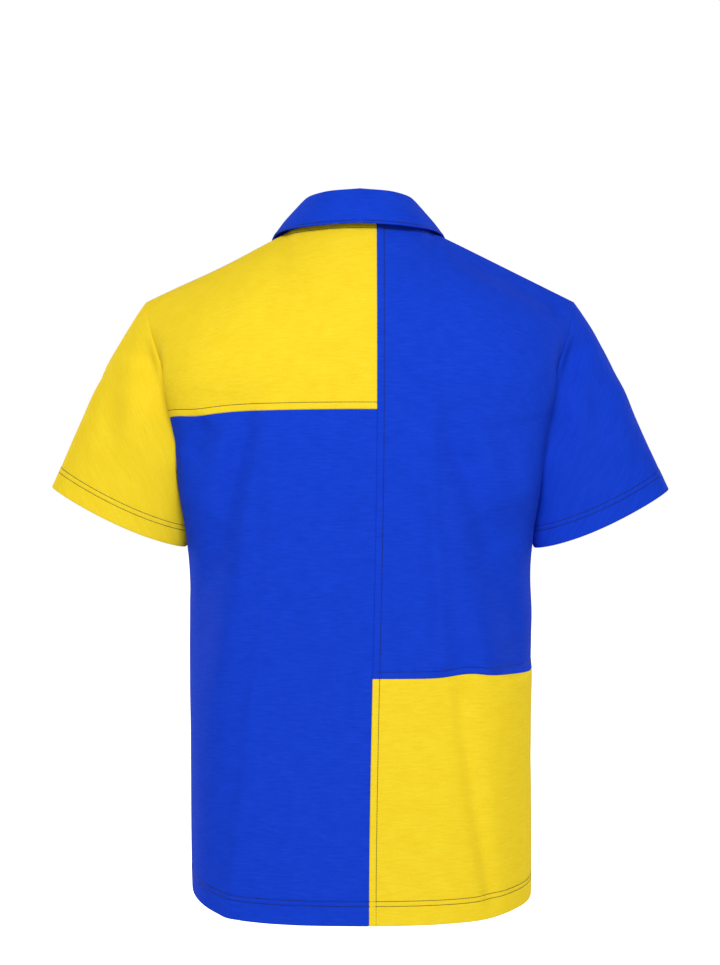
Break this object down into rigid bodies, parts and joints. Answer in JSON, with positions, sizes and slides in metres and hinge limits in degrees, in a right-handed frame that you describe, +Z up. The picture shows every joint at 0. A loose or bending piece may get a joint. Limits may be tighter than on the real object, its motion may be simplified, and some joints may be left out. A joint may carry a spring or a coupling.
{
  "type": "polo shirt",
  "caption": "Short-sleeved polo shirt with a fold-over collar and button placket, filled out as worn, its back and sleeves in blocks of yellow and blue jersey.",
  "frame": {"origin": "middle of the neck opening, at the height of the neck ends of the shoulder seams", "axes": "+Z up out of the neck, front of the shirt towards -Y, wearer's left towards +X"},
  "size_m": [0.635, 0.2526, 0.7359],
  "materials": {
    "yellow_jersey": "smooth jersey knit with fine cross streaks",
    "blue_jersey": "smooth jersey knit with fine cross streaks",
    "button_plastic": "satin"
  },
  "bodies": {
    "root": {"back_left_upper": "yellow_jersey", "back_left_lower": "blue_jersey", "back_right_upper": "blue_jersey", "back_right_lower": "yellow_jersey", "front": "blue_jersey", "placket_over": "blue_jersey", "placket_under": "blue_jersey", "collar_stand": "blue_jersey", "collar_leaf": "blue_jersey", "sleeve_left": "yellow_jersey", "sleeve_right": "blue_jersey", "button_top": "button_plastic", "button_middle": "button_plastic", "button_bottom": "button_plastic"}
  },
  "joints": []
}
